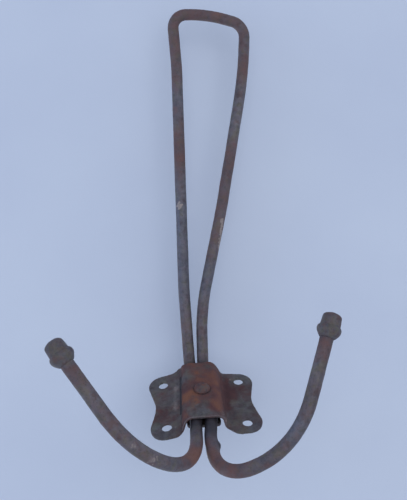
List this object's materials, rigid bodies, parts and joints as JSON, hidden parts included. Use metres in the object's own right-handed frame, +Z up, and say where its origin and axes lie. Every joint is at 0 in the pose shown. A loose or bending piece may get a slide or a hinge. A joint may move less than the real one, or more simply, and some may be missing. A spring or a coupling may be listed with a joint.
{
  "type": "hat and coat hook",
  "caption": "Wall-mounted hat and coat hook bent from one steel rod, with a long leaning hat loop, spreading coat hooks and a riveted pressed plate.",
  "frame": {"origin": "centre of the four screw holes, on the wall plane", "axes": "+X right seen from the front, +Y into the wall, +Z up"},
  "size_m": [0.1235, 0.1638, 0.1989],
  "materials": {
    "rusted_sheet": "brown rust over dark mill scale, worn edges",
    "rusted_rod": "dark grey-brown oxidised steel with red-brown rust patches",
    "dark_plate": "near-black scale",
    "rusted_rivet": "orange-brown rust",
    "rusted_knob": "dark grey-brown oxidised steel"
  },
  "bodies": {
    "root": {"front_plate": "rusted_sheet", "hook_rod": "rusted_rod", "back_clamp": "dark_plate", "rivet": "rusted_rivet", "left_knob": "rusted_knob", "right_knob": "rusted_knob"}
  },
  "joints": []
}
